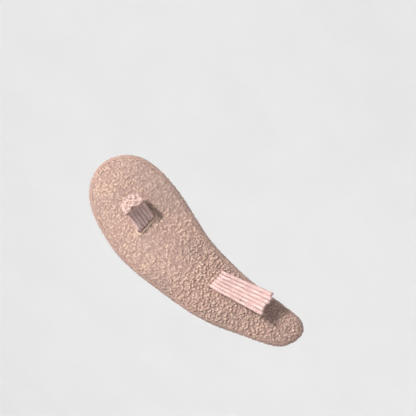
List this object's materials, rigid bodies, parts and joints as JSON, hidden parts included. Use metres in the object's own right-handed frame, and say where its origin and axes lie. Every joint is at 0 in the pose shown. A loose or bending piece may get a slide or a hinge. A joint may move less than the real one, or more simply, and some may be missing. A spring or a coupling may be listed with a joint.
{
  "type": "hammer toe crest pad",
  "caption": "Soft crescent pad worn under bent toes: a suede panel and a domed cover round a felt core, with a ribbed elastic band that comes through slits and loops round the middle toe.",
  "frame": {"origin": "middle of the elastic loop, on the middle toe's axis and level with the slits", "axes": "+X along the pad from the wide end to the narrow end, +Y from the pad through the loop towards the top of the foot, +Z along the toe's axis towards the heel; the face that is turned to the ground looks to -Y"},
  "size_m": [0.0696, 0.0346, 0.0245],
  "materials": {
    "face_suede": "matt grained suede, taupe with pink and cream",
    "cover_suede": "matt soft suede, taupe",
    "felt": "pressed wool felt, off-white",
    "elastic": "ribbed braided elastic, pinkish white"
  },
  "bodies": {
    "root": {"face_panel": "face_suede", "crest_cover": "cover_suede", "felt_core": "felt", "toe_strap": "elastic"}
  },
  "joints": []
}
